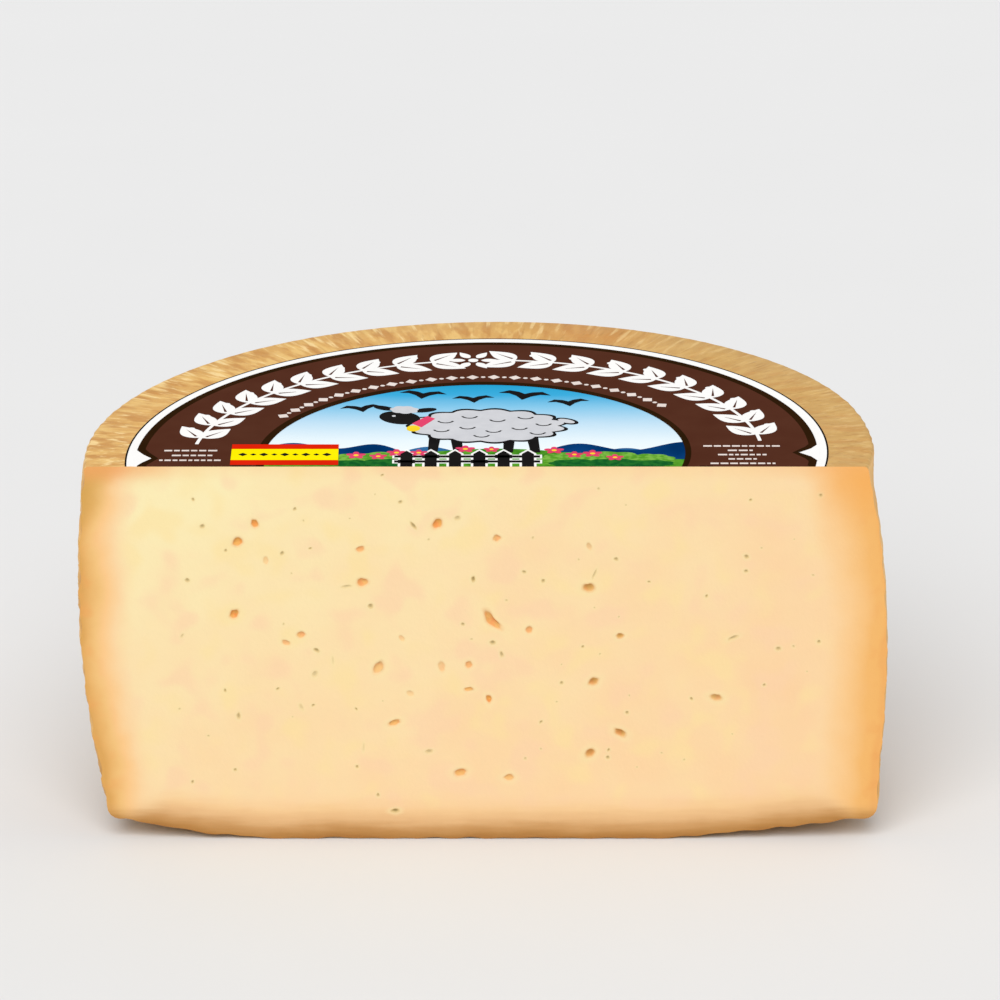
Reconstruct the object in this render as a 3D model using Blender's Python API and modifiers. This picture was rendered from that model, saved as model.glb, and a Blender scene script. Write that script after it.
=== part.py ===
"""Half wheel of a pressed sheep's milk cheese with a round paper label on its top.

Metres, +Z up. The flat cut face looks along -Y, and the wheel's round back lies towards +Y.
The origin is the middle of the bounding box, on the surface that the half wheel stands on.
"""

import math

import bmesh
import bpy
from mathutils import Matrix, Vector

MM = 0.001

# The wheel: a barrel, widest at its belly, which the knife cut in front of its axis.
WHEEL_HEIGHT = 99.2 * MM
BELLY_RADIUS = 101.2 * MM
BELLY_HEIGHT = 60.0 * MM
TOP_PULL_IN = 3.0 * MM
BASE_PULL_IN = 5.8 * MM
AXIS_BEHIND_CUT = 12.5 * MM

# It is a little out of round, and its axis leans to the right towards the base.
OVAL_SWELL = 2.4 * MM
OVAL_TURN = math.radians(45)
LEAN = -0.035
AXIS_RIGHT_AT_BELLY = 0.7 * MM

# The rounded edges, and the base, which is flat in the middle and lifts towards its edge.
TOP_EDGE_ROUND = 1.4 * MM
BASE_EDGE_ROUND = 3.4 * MM
BASE_FLAT_RADIUS = 58.0 * MM
BASE_LIFT = 5.4 * MM
BASE_LIFT_POWER = 1.5
EDGE_STEPS = 3

# The plaited grass belt of the mould leaves slanting ridges in bands that turn back and forth.
RIDGES_ROUND_WHEEL = 120
COLUMNS_PER_RIDGE = 3
BANDS = 7
RIDGE_SLANT = 9.0 * MM
RIDGE_DEPTH = 0.8 * MM

# The paper label, glued to the top and cut through with the cheese.
LABEL_RADIUS = 86.9 * MM
LABEL_CENTRE = (-1.1 * MM, -5.3 * MM)
LABEL_THICKNESS = 0.3 * MM
LABEL_SIDES = 120
GLUE_GAP = 0.3 * MM

# The larger eyes in the paste: place across and up the cut face, width, height and tilt.
EYE_SIZES_MM_DEG = (
    (-60.3, 79.4, 2.9, 2.1, 35),
    (-56.1, 84.3, 2.4, 2.0, -60),
    (-53.4, 74.5, 2.6, 1.7, -85),
    (-61.4, 60.2, 2.6, 2.2, 60),
    (-44.8, 54.8, 2.8, 1.8, 12),
    (-48.6, 52.7, 2.2, 1.6, -20),
    (-29.8, 68.6, 2.9, 2.2, 10),
    (-30.1, 77.5, 2.6, 1.9, 25),
    (-10.9, 84.2, 2.9, 2.6, 50),
    (3.7, 80.4, 2.1, 1.9, 0),
    (1.2, 60.7, 3.6, 2.5, -58),
    (3.4, 57.8, 3.0, 1.8, -42),
    (11.7, 56.1, 2.1, 1.8, 80),
    (26.5, 67.3, 2.9, 2.3, 10),
    (26.5, 78.3, 2.2, 1.3, -70),
    (34.3, 54.5, 1.7, 1.5, 0),
    (27.7, 42.3, 2.6, 2.1, 32),
    (34.5, 28.6, 3.2, 1.7, -32),
    (27.0, 23.2, 2.6, 2.1, 40),
    (58.3, 38.1, 2.7, 1.9, -10),
    (62.4, 54.0, 2.8, 1.1, 22),
    (-25.8, 46.0, 3.5, 2.7, 60),
    (-19.9, 53.8, 2.6, 1.8, -50),
    (-10.0, 46.3, 3.0, 1.9, -80),
    (-3.2, 46.8, 2.1, 1.9, 0),
    (-3.3, 40.3, 2.3, 1.1, 3),
    (1.7, 37.7, 2.1, 1.6, -78),
    (-17.9, 39.1, 2.7, 1.9, -29),
    (-21.8, 31.3, 3.0, 1.6, 20),
    (-5.4, 17.9, 3.0, 2.1, 15),
    (6.8, 16.6, 2.6, 1.8, 5),
)
EYE_DEPTH_TO_HEIGHT = 0.55

# Half the side of the block that the knife takes away, and the reach within which two heights
# count as one.
KNIFE_REACH = 150.0 * MM
HAIR = 0.05 * MM

COLOURS = {
    "paste_and_rind": ((0.90, 0.62, 0.32), 0.55),
    "label_paper": ((0.32, 0.20, 0.16), 0.40),
}


def clear_scene():
    for obj in list(bpy.data.objects):
        bpy.data.objects.remove(obj)


def collection_named(name, hidden=False):
    collection = bpy.data.collections.new(name)
    bpy.context.scene.collection.children.link(collection)
    collection.hide_render = hidden
    return collection


def material_named(name):
    colour, roughness = COLOURS[name]
    material = bpy.data.materials.new(name)
    material.use_nodes = True
    shader = material.node_tree.nodes["Principled BSDF"]
    shader.inputs["Base Color"].default_value = (*colour, 1.0)
    shader.inputs["Roughness"].default_value = roughness
    shader.inputs["Metallic"].default_value = 0.0
    return material


def object_from(name, mesh, collection):
    obj = bpy.data.objects.new(name, mesh)
    collection.objects.link(obj)
    return obj


def evaluated_mesh(obj):
    """The object's mesh with its modifiers applied."""
    graph = bpy.context.evaluated_depsgraph_get()
    return bpy.data.meshes.new_from_object(obj.evaluated_get(graph))


def side_radius(z):
    """The barrel's radius at a height: widest at the belly, drawn in to the top and the base."""
    if z > BELLY_HEIGHT:
        reach, pull_in = WHEEL_HEIGHT - BELLY_HEIGHT, TOP_PULL_IN
    else:
        reach, pull_in = BELLY_HEIGHT, BASE_PULL_IN
    return BELLY_RADIUS - pull_in * ((z - BELLY_HEIGHT) / reach) ** 2


def oval(angle):
    """How far out the slightly oval wheel and its label reach at an angle, 1 on average."""
    return 1 + OVAL_SWELL / BELLY_RADIUS * math.cos(2 * (angle - OVAL_TURN))


def base_height(radius):
    """The underside's height: flat in the middle, lifting towards the edge."""
    edge = side_radius(BASE_LIFT) - BASE_EDGE_ROUND
    share = max(0.0, (radius - BASE_FLAT_RADIUS) / (edge - BASE_FLAT_RADIUS))
    return BASE_LIFT * share**BASE_LIFT_POWER


def rounded_edge(centre, size, first_angle, last_angle):
    """Points of a quarter round between two angles, both ends included."""
    points = []
    for step in range(EDGE_STEPS + 1):
        angle = first_angle + (last_angle - first_angle) * step / EDGE_STEPS
        points.append((centre[0] + size * math.cos(angle), centre[1] + size * math.sin(angle)))
    return points


def wheel_profile():
    """Radius and height of the turned outline, from the top's middle down to the base's middle."""
    top_edge_centre = (
        side_radius(WHEEL_HEIGHT) - TOP_EDGE_ROUND,
        WHEEL_HEIGHT - TOP_EDGE_ROUND,
    )
    base_edge_centre = (
        side_radius(BASE_LIFT + BASE_EDGE_ROUND) - BASE_EDGE_ROUND,
        BASE_LIFT + BASE_EDGE_ROUND,
    )
    top_edge = rounded_edge(top_edge_centre, TOP_EDGE_ROUND, math.pi / 2, 0.0)
    base_edge = rounded_edge(base_edge_centre, BASE_EDGE_ROUND, 0.0, -math.pi / 2)
    low, high = base_edge_centre[1], top_edge_centre[1]
    side = []
    for band in range(1, BANDS):
        z = high + (low - high) * band / BANDS
        side.append((side_radius(z), z))
    underside = []
    for share in (0.8, 0.6, 0.4, 0.2, 0.0):
        radius = BASE_FLAT_RADIUS + (base_edge_centre[0] - BASE_FLAT_RADIUS) * share
        underside.append((radius, base_height(radius)))
    middle_top, middle_base = (0.0, WHEEL_HEIGHT), (0.0, 0.0)
    outline = [middle_top, *top_edge, *side, *base_edge, *underside, middle_base]
    return outline, low, high


def turned_wheel(collection):
    """The whole wheel, turned from its profile, before any relief."""
    outline, low, high = wheel_profile()
    mesh = bpy.data.meshes.new("wheel_profile")
    edges = [(i, i + 1) for i in range(len(outline) - 1)]
    mesh.from_pydata([(radius, 0.0, z) for radius, z in outline], edges, [])
    profile = object_from("wheel_profile", mesh, collection)
    screw = profile.modifiers.new("turned", "SCREW")
    screw.steps = screw.render_steps = RIDGES_ROUND_WHEEL * COLUMNS_PER_RIDGE
    screw.use_merge_vertices = True
    screw.merge_threshold = 0.00001
    wheel = evaluated_mesh(profile)
    bpy.data.objects.remove(profile)
    return wheel, low, high


def zigzag(z, low, high):
    """0 to 1 and back again from one band of the plait to the next, steady past its ends."""
    place = (min(max(z, low), high) - low) / (high - low) * BANDS
    return abs((place + 1) % 2 - 1)


def relief_share(z, low, high):
    """How much of the ridges' depth a ring has: all on the side, half on its end rings."""
    if low + HAIR < z < high - HAIR:
        return 1.0
    if low - HAIR < z < high + HAIR:
        return 0.5
    return 0.0


def press_relief(wheel, low, high):
    """Moves the turned wheel's points to its leaning, slightly oval body with its plaited side."""
    columns = RIDGES_ROUND_WHEEL * COLUMNS_PER_RIDGE
    for vertex in wheel.vertices:
        x, y, z = vertex.co
        radius = math.hypot(x, y)
        angle = math.atan2(y, x)
        column = round(angle / (2 * math.pi) * columns)
        if column % COLUMNS_PER_RIDGE == 0:
            radius -= RIDGE_DEPTH * relief_share(z, low, high)
        radius *= oval(angle)
        angle += RIDGE_SLANT / BELLY_RADIUS * zigzag(z, low, high)
        across = AXIS_RIGHT_AT_BELLY + LEAN * (z - BELLY_HEIGHT)
        vertex.co = (across + radius * math.cos(angle), radius * math.sin(angle), z)


def knife_box(collection):
    """The block that the knife takes away, in front of the cut."""
    shape = bmesh.new()
    place = Matrix.Translation((0.0, -AXIS_BEHIND_CUT - KNIFE_REACH, WHEEL_HEIGHT / 2))
    size = Matrix.Diagonal((2 * KNIFE_REACH, 2 * KNIFE_REACH, 2 * KNIFE_REACH, 1.0))
    bmesh.ops.create_cube(shape, size=1.0, matrix=place @ size)
    mesh = bpy.data.meshes.new("knife_side")
    shape.to_mesh(mesh)
    shape.free()
    cutter = object_from("knife_side", mesh, collection)
    cutter.hide_render = True
    cutter.display_type = "WIRE"
    return cutter


def cut_with(obj, cutter):
    cut = obj.modifiers.new("cut", "BOOLEAN")
    cut.operation = "DIFFERENCE"
    cut.object = cutter


def eye_hollow(number, size_mm_deg, collection):
    """One small hollow of the paste: an ellipsoid centred on the cut."""
    x, z, width, height, tilt = size_mm_deg
    shape = bmesh.new()
    bmesh.ops.create_icosphere(shape, subdivisions=2, radius=0.5 * MM)
    name = f"eye_{number:02d}"
    mesh = bpy.data.meshes.new(name)
    depth = 2 * EYE_DEPTH_TO_HEIGHT * height
    turn = Matrix.Rotation(math.radians(-tilt), 4, "Y")
    size = Matrix.Diagonal((width, depth, height, 1.0))
    shape.transform(Matrix.Translation((x * MM, -AXIS_BEHIND_CUT, z * MM)) @ turn @ size)
    shape.to_mesh(mesh)
    shape.free()
    hollow = object_from(name, mesh, collection)
    hollow.hide_render = True
    hollow.display_type = "WIRE"


def half_cheese(parts, cutters, eyes, knife):
    wheel, low, high = turned_wheel(cutters)
    press_relief(wheel, low, high)
    cheese = object_from("half_cheese", wheel, parts)
    wheel.materials.append(material_named("paste_and_rind"))
    cut_with(cheese, knife)
    for number, size_mm_deg in enumerate(EYE_SIZES_MM_DEG):
        eye_hollow(number, size_mm_deg, eyes)
    hollows = cheese.modifiers.new("eyes", "BOOLEAN")
    hollows.operation = "DIFFERENCE"
    hollows.operand_type = "COLLECTION"
    hollows.collection = eyes
    return cheese


def top_label(parts, knife):
    shape = bmesh.new()
    bmesh.ops.create_cone(
        shape,
        cap_ends=True,
        segments=LABEL_SIDES,
        radius1=LABEL_RADIUS,
        radius2=LABEL_RADIUS,
        depth=LABEL_THICKNESS,
    )
    for vertex in shape.verts:
        vertex.co.xy *= oval(math.atan2(vertex.co.y, vertex.co.x))
    height = WHEEL_HEIGHT + GLUE_GAP + LABEL_THICKNESS / 2
    bmesh.ops.translate(shape, verts=shape.verts, vec=(*LABEL_CENTRE, height))
    mesh = bpy.data.meshes.new("top_label")
    shape.to_mesh(mesh)
    shape.free()
    mesh.materials.append(material_named("label_paper"))
    label = object_from("top_label", mesh, parts)
    cut_with(label, knife)
    return label


def box_centre(obj):
    """The middle of the evaluated object's box along X and Y."""
    mesh = evaluated_mesh(obj)
    xs = [vertex.co.x for vertex in mesh.vertices]
    ys = [vertex.co.y for vertex in mesh.vertices]
    bpy.data.meshes.remove(mesh)
    return Vector(((min(xs) + max(xs)) / 2, (min(ys) + max(ys)) / 2, 0.0))


def stand_on_origin(cheese, objects):
    """Moves the finished half so that the middle of its box is over the origin."""
    shift = box_centre(cheese)
    for obj in objects:
        obj.location -= shift
    bpy.context.view_layer.update()


def main():
    clear_scene()
    parts = collection_named("half_wheel_cheese")
    cutters = collection_named("cutters", hidden=True)
    eyes = collection_named("eye_hollows", hidden=True)
    knife = knife_box(cutters)
    cheese = half_cheese(parts, cutters, eyes, knife)
    label = top_label(parts, knife)
    stand_on_origin(cheese, [cheese, label, knife, *eyes.objects])


main()
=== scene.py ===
"""A half wheel of cured sheep's milk cheese with its printed label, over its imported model."""

import math
import random

import bmesh
import bpy
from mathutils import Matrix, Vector, noise
from mathutils.geometry import delaunay_2d_cdt


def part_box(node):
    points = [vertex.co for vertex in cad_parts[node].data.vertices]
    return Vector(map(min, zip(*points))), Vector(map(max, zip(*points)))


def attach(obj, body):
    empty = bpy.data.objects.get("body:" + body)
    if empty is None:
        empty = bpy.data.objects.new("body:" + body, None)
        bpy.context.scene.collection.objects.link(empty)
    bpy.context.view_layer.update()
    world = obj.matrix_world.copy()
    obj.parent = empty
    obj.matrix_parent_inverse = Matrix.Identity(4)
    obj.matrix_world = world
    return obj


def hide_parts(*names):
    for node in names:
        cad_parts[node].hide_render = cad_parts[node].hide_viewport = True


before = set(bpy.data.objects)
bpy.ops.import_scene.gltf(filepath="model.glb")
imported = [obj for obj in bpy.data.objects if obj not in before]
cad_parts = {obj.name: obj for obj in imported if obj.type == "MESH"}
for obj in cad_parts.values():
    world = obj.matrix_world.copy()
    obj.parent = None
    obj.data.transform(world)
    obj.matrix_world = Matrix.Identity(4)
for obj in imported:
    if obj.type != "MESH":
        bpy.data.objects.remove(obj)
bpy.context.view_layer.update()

# The view
# The half wheel is seen from two metres with a long lens, straight at its cut face and looking
# down by about 20 degrees. The target is a point of the cut face.
MM = 0.001
scene = bpy.context.scene
cheese_low, cheese_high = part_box("half_cheese")
cut_y = cheese_low.y
camera_distance = 2000 * MM
camera_tilt = math.radians(20.24)
camera_target = Vector((3.8 * MM, cut_y, 90.45 * MM))
photo_pixels = 1000
focal_pixels = 8108
camera_data = bpy.data.cameras.new("camera")
camera_data.lens = camera_data.sensor_width * focal_pixels / photo_pixels
camera = bpy.data.objects.new("camera", camera_data)
scene.collection.objects.link(camera)
way_back = Vector((0.0, -math.cos(camera_tilt), math.sin(camera_tilt)))
camera.location = camera_target + camera_distance * way_back
camera.rotation_euler = (math.pi / 2 - camera_tilt, 0.0, 0.0)
scene.camera = camera

# The studio
# A matt pale floor runs out past the frame on all sides. A white room lights everything evenly,
# with one large soft lamp high in front and a weak one behind. Both are so far off that the
# floor is as bright at its edges as in its middle.
floor_reach = 14.0
floor_below = 0.03 * MM
floor_light = 1.24
room_light = 0.60
front_lamp = {"strength": 2.35, "softness": 50, "height": 48, "from_front": -10}
back_lamp = {"strength": 0.35, "softness": 90, "height": 50, "from_front": 150}


def paint(red, green, blue, light=1.0):
    """A colour as the eye reads it, 0 to 255, on a surface that gets that much light."""
    linear = []
    for part in (red, green, blue):
        share = part / 255
        bright = share / 12.92 if share <= 0.04045 else ((share + 0.055) / 1.055) ** 2.4
        linear.append(bright / light)
    return (*linear, 1.0)


class Value:
    """A socket of a material's nodes. Sums written with it add Math nodes."""

    def __init__(self, tree, socket=None):
        self.tree = tree
        self.socket = socket

    def node(self, kind, settings=None, sockets=None, out=0):
        """Adds a node: its settings first, then the values or links of its sockets."""
        added = self.tree.nodes.new(kind)
        for name, setting in (settings or {}).items():
            if name == "stops":
                ramp = added.color_ramp
                for place, colour in setting[2:]:
                    ramp.elements.new(place)
                for element, (place, colour) in zip(ramp.elements, setting):
                    element.position = place
                    element.color = colour
            else:
                setattr(added, name, setting)
        for name, value in (sockets or {}).items():
            if isinstance(value, Value):
                self.tree.links.new(value.socket, added.inputs[name])
            else:
                added.inputs[name].default_value = value
        if out is None:
            return None
        if isinstance(out, tuple):
            return tuple(Value(self.tree, added.outputs[name]) for name in out)
        return Value(self.tree, added.outputs[out])

    def maths(self, operation, *values):
        return self.node("ShaderNodeMath", {"operation": operation}, dict(enumerate(values)))

    def __add__(self, other):
        return self.maths("ADD", self, other)

    __radd__ = __add__

    def __sub__(self, other):
        return self.maths("SUBTRACT", self, other)

    def __rsub__(self, other):
        return self.maths("SUBTRACT", other, self)

    def __mul__(self, other):
        return self.maths("MULTIPLY", self, other)

    __rmul__ = __mul__

    def __truediv__(self, other):
        return self.maths("DIVIDE", self, other)

    def __pow__(self, other):
        return self.maths("POWER", self, other)

    def least(self, other):
        return self.maths("MINIMUM", self, other)

    def most(self, other):
        return self.maths("MAXIMUM", self, other)

    def rise(self, start, end):
        """0 up to start, 1 from end on, and smooth between them."""
        sockets = {"Value": self, "From Min": start, "From Max": end}
        return self.node("ShaderNodeMapRange", {"interpolation_type": "SMOOTHSTEP"}, sockets)

    def mix(self, low, high):
        """The colour low where this is 0, and the colour high where it is 1."""
        return self.node("ShaderNodeMix", {"data_type": "RGBA"}, {0: self, 6: low, 7: high}, 2)

    def steps(self, span, light, *stops):
        """The colours of stops in that light, each after its place between 0 and span."""
        shares = [(place / span, paint(*colour, light)) for place, *colour in stops]
        return self.node("ShaderNodeValToRGB", {"stops": shares}, {"Fac": self / span})

    def amount(self, name):
        """What the mesh's points carry under a name."""
        return self.node("ShaderNodeAttribute", {"attribute_name": name}, out="Fac")

    def apart(self, place):
        """The three numbers of a place."""
        return self.node("ShaderNodeSeparateXYZ", sockets={0: place}, out=("X", "Y", "Z"))

    def speckle(self, place, size, detail=2.0, seed=0.0):
        """Noise about as coarse as size, from 0 to 1, over a place in the same unit."""
        sockets = {"Vector": place, "W": seed, "Scale": 1 / size, "Detail": detail}
        return self.node("ShaderNodeTexNoise", {"noise_dimensions": "4D"}, sockets)


def new_material(name):
    """A material with no nodes yet, a Value to start them from, and the place in millimetres."""
    material = bpy.data.materials.new(name)
    material.use_nodes = True
    material.node_tree.nodes.clear()
    start = Value(material.node_tree)
    metres = start.node("ShaderNodeTexCoord", out="Object")
    scaled = {0: metres, "Scale": 1 / MM}
    place = start.node("ShaderNodeVectorMath", {"operation": "SCALE"}, scaled)
    return material, start, place


def shine(start, **sockets):
    """The material's surface, with its sockets named by words joined with underscores."""
    named = {name.replace("_", " "): value for name, value in sockets.items()}
    surface = start.node("ShaderNodeBsdfPrincipled", sockets=named)
    start.node("ShaderNodeOutputMaterial", sockets={"Surface": surface}, out=None)


def bumps(start, height, depth):
    """A normal for relief too fine to model: a height from 0 to 1, and a depth in metres."""
    return start.node("ShaderNodeBump", sockets={"Height": height, "Distance": depth}, out="Normal")


floor_paint, start, place = new_material("floor_paint")
dust = start.speckle(place, 60.0)
floor_colour = dust.mix(paint(234, 234, 234, floor_light), paint(236, 236, 236, floor_light))
shine(start, Base_Color=floor_colour, Roughness=0.9, Specular_IOR_Level=0.0)
floor_mesh = bpy.data.meshes.new("floor")
corners = [(-1, -1), (1, -1), (1, 1), (-1, 1)]
floor_points = [(x * floor_reach, y * floor_reach, -floor_below) for x, y in corners]
floor_mesh.from_pydata(floor_points, [], [(0, 1, 2, 3)])
floor_mesh.materials.append(floor_paint)
floor = bpy.data.objects.new("floor", floor_mesh)
scene.collection.objects.link(floor)

world = bpy.data.worlds.new("white_room")
world.use_nodes = True
backdrop = world.node_tree.nodes["Background"]
backdrop.inputs["Color"].default_value = (1.0, 1.0, 1.0, 1.0)
backdrop.inputs["Strength"].default_value = room_light
scene.world = world
scene.view_settings.view_transform = "Standard"

for name, lamp in (("front_lamp", front_lamp), ("back_lamp", back_lamp)):
    lamp_data = bpy.data.lights.new(name, "SUN")
    lamp_data.energy = lamp["strength"]
    lamp_data.angle = math.radians(lamp["softness"])
    hung = bpy.data.objects.new(name, lamp_data)
    tilt = math.radians(90 - lamp["height"])
    hung.rotation_euler = (tilt, 0.0, math.radians(lamp["from_front"]))
    scene.collection.objects.link(hung)

# The wheel's form
# Curd pressed in a plaited grass belt keeps the belt's slanting ridges round its side, in bands
# that turn back and forth. The wheel is a low barrel, a little oval, and a knife has cut it
# through in front of its axis.
wheel_height = cheese_high.z
belly_radius = 101.2 * MM
belly_height = 60.0 * MM
top_pull_in = 3.0 * MM
base_pull_in = 5.8 * MM
axis_y = cut_y + 12.5 * MM
axis_lean = -0.035
oval_swell = 2.4 * MM
oval_turn = math.radians(45)
top_round = 1.4 * MM
base_round = 3.4 * MM
base_flat = {"left": 58.0 * MM, "right": 43.0 * MM}
base_lift = 5.4 * MM
base_power = {"left": 1.65, "right": 1.2}
right_foot = 1.0 * MM
wheel_shift = 0.3 * MM
ridge_count = 120
ridge_depth = 0.85 * MM
ridge_slant = 9.0 * MM
ridge_wander = 0.9 * MM
channel_shape = 1.8
strand_over, strand_under = 1.12, 0.82
band_count = 7
band_fold = 0.35
fold_reach = 1.1 * MM
side_lumps = 0.16 * MM
side_swell = 0.5 * MM
handled_wear = 0.7
handled_turn = -0.06
handled_width = 0.12
foot_reach = 6 * MM
foot_blend = 40 * MM
rounded_print = 0.75
board_groove = 8.7 * MM
board_groove_depth = 0.45 * MM
board_sway = 3 * MM
base_crumbs = 0.9 * MM
crumb_size = 8 * MM
columns = 420
side_rows = 108
top_rows = 9
base_rows = 64
round_rows = 4
soft_rows = 3
right_hollow = 3.6 * MM
hollow_turn = 0.16
hollow_width = 0.19
hollow_reach = 8 * MM
corner_pull = 1.1 * MM
corner_turn = -0.11
corner_width = 0.12
corner_reach = 13 * MM


def bell(away, reach):
    """1 in the middle, fading to nothing a little past its reach."""
    return math.exp(-((away / reach) ** 2))


def side_radius(z):
    """The barrel's radius at a height, before its ridges."""
    over, under = wheel_height - belly_height, belly_height
    pull_in, reach = (top_pull_in, over) if z > belly_height else (base_pull_in, under)
    return belly_radius - pull_in * ((z - belly_height) / reach) ** 2


def oval(angle):
    """How far out the slightly oval wheel reaches at an angle, 1 on average."""
    return 1 + oval_swell / belly_radius * math.cos(2 * (angle - oval_turn))


def rough(x, y, z, size):
    """Noise from -1 to 1, about as coarse as size."""
    return noise.noise(Vector((x, y, z)) / size)


top_edge_z = wheel_height - top_round
base_edge_z = base_lift + base_round


def belt_print(angle, z):
    """How far the plaited belt pressed the side in, from 0 on a ridge to about 1 in a channel."""
    along = angle * belly_radius
    place = (min(max(z, base_edge_z), top_edge_z) - base_edge_z) / (top_edge_z - base_edge_z)
    place *= band_count
    turn = abs((place + 1) % 2 - 1)
    wander = ridge_wander * rough(along, 0.0, z, 22 * MM)
    strand = (along + wander - ridge_slant * turn) / (2 * math.pi * belly_radius / ridge_count)
    across = abs(2 * ((strand + 0.5) % 1.0) - 1)
    channel = 1 - across**channel_shape
    over = (math.floor(strand + 0.5) + math.floor(place)) % 2
    depth = strand_over if over else strand_under
    to_band_edge = abs(place - round(place)) * (top_edge_z - base_edge_z) / band_count
    fold = band_fold * bell(to_band_edge, fold_reach)
    worn = 0.8 + 0.45 * rough(along, 9.0, z, 30 * MM)
    return (channel * depth + fold * across) * min(max(worn, 0.35), 1.15)


def side_point(angle, z, inset, share):
    """A point of the wheel's side: its place, and how deep in a channel of the belt it lies."""
    handled = handled_wear * bell(angle - handled_turn, handled_width)
    pressed = belt_print(angle, z) * share * (1 - handled)
    lumps = side_lumps * rough(angle * belly_radius, 5.0, z, 5 * MM) * share
    swell = side_swell * rough(angle * belly_radius, 2.0, z, 45 * MM)
    below_top = min(1.0, max(0.0, (wheel_height - z) / hollow_reach))
    fallen_in = right_hollow * bell(angle - hollow_turn, hollow_width) * below_top
    foot = right_foot * bell(z - base_edge_z, foot_reach) * max(0, math.cos(angle))
    corner = bell(angle - corner_turn, corner_width)
    corner *= corner_pull * bell(wheel_height - z, corner_reach)
    radius = side_radius(z) - inset - ridge_depth * pressed + lumps + swell * share
    return (radius - fallen_in - corner + foot) * oval(angle), pressed


def column_angles(z, inset, share):
    """The angles of a row's points, from the cut's right edge round the back to its left edge."""
    ends = []
    for turn_back in (False, True):
        angle = math.pi if turn_back else 0.0
        for _ in range(6):
            radius = side_point(angle, z, inset, share)[0]
            dip = math.asin((axis_y - cut_y) / radius)
            angle = math.pi + dip if turn_back else -dip
        ends.append(angle)
    return [ends[0] + (ends[1] - ends[0]) * step / columns for step in range(columns + 1)]


def side_row(z, inset, share, height=None):
    """One row of points round the wheel, with how deep each lies in the belt's print."""
    row = []
    across = wheel_shift + axis_lean * (z - belly_height)
    for angle in column_angles(z, inset, share):
        radius, pressed = side_point(angle, z, inset, share)
        x = across + radius * math.cos(angle)
        y = axis_y + radius * math.sin(angle)
        row.append((Vector((x, y, z if height is None else height)), pressed))
    row[0][0].y = row[-1][0].y = cut_y
    return row


def base_rise(point):
    """The underside's height at a place, with how deep in a groove of the drying board it is."""
    across = wheel_shift + axis_lean * -belly_height
    radius = math.hypot(point.x - across, point.y - axis_y)
    edge = side_radius(base_lift) - base_round
    to_right = min(1.0, max(0.0, 0.5 + (point.x - across) / foot_blend))
    flat = base_flat["left"] + (base_flat["right"] - base_flat["left"]) * to_right
    power = base_power["left"] + (base_power["right"] - base_power["left"]) * to_right
    share = max(0.0, (radius - flat) / (edge - flat))
    sway = board_sway * rough(point.x, point.y, 3.0, 40 * MM)
    wave = 0.5 - 0.5 * math.cos(2 * math.pi * (point.x + sway) / board_groove)
    groove = wave * (0.7 + 0.5 * rough(point.x, point.y, 0.0, 18 * MM))
    crumbs = base_crumbs * max(0.0, rough(point.x, point.y, 8.0, crumb_size))
    return base_lift * min(share, 1.0) ** power + board_groove_depth * groove + crumbs, groove


rows = []
top_middle = Vector((0.0, cut_y, wheel_height))
for step in range(round_rows + 1):
    angle = math.pi / 2 * (1 - step / round_rows)
    height = top_edge_z + top_round * math.sin(angle)
    inset = top_round * (1 - math.cos(angle))
    rows.append(side_row(top_edge_z, inset, rounded_print * math.cos(angle), height))
top_rim = rows[0]
inner_rows = []
for step in range(1, top_rows):
    share = (step / top_rows) ** 0.6
    inner_rows.append([(top_middle.lerp(point, share), pressed) for point, pressed in top_rim])
rows = inner_rows + rows
for step in range(1, side_rows):
    z = top_edge_z + (base_edge_z - top_edge_z) * step / side_rows
    end_fade = min(1.0, rounded_print + (1 - rounded_print) * min(step, side_rows - step) / 4)
    rows.append(side_row(z, 0.0, end_fade))
for step in range(round_rows + 1):
    angle = math.pi / 2 * step / round_rows
    height = base_edge_z - base_round * math.sin(angle)
    inset = base_round * (1 - math.cos(angle))
    rows.append(side_row(base_edge_z, inset, rounded_print * math.cos(angle), height))
base_middle = Vector((0.0, cut_y, 0.0))
base_rim = rows[-1]
for step in range(1, base_rows):
    share = 1 - step / base_rows
    ring = []
    for point, pressed in base_rim:
        inner = base_middle.lerp(point, share)
        rise, groove = base_rise(inner)
        keep = max(0.0, 1 - step / soft_rows)
        inner.z = rise * (1 - keep) + base_rim[0][0].z * keep
        ring.append((inner, pressed * keep + groove * 0.8 * (1 - keep)))
    rows.append(ring)
base_middle.z = base_rise(base_middle)[0]

points, belt_depths, hollow_depths, halos, drynesses = [], [], [], [], []


def add_point(point, belt=0.0, hollow=0.0, halo=0.0, dry=0.0):
    """Keeps a point and what its place means for the colours. Returns its number."""
    points.append(point)
    belt_depths.append(belt)
    hollow_depths.append(hollow)
    halos.append(halo)
    drynesses.append(dry)
    return len(points) - 1


row_numbers = [[add_point(point, belt=pressed) for point, pressed in row] for row in rows]
top_number, base_number = add_point(top_middle), add_point(base_middle)
rind_faces = []
for upper, lower in zip(row_numbers, row_numbers[1:]):
    for step in range(columns):
        rind_faces.append((upper[step], lower[step], lower[step + 1], upper[step + 1]))
for step in range(columns):
    rind_faces.append((top_number, row_numbers[0][step], row_numbers[0][step + 1]))
    rind_faces.append((base_number, row_numbers[-1][step + 1], row_numbers[-1][step]))

# The eyes
# Small uneven holes that gas left in the curd, opened by the knife. Most are a few millimetres
# wide, some have thin cracks beside them, and pinholes lie between them.
cut_middle_x = -0.7 * MM
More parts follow.
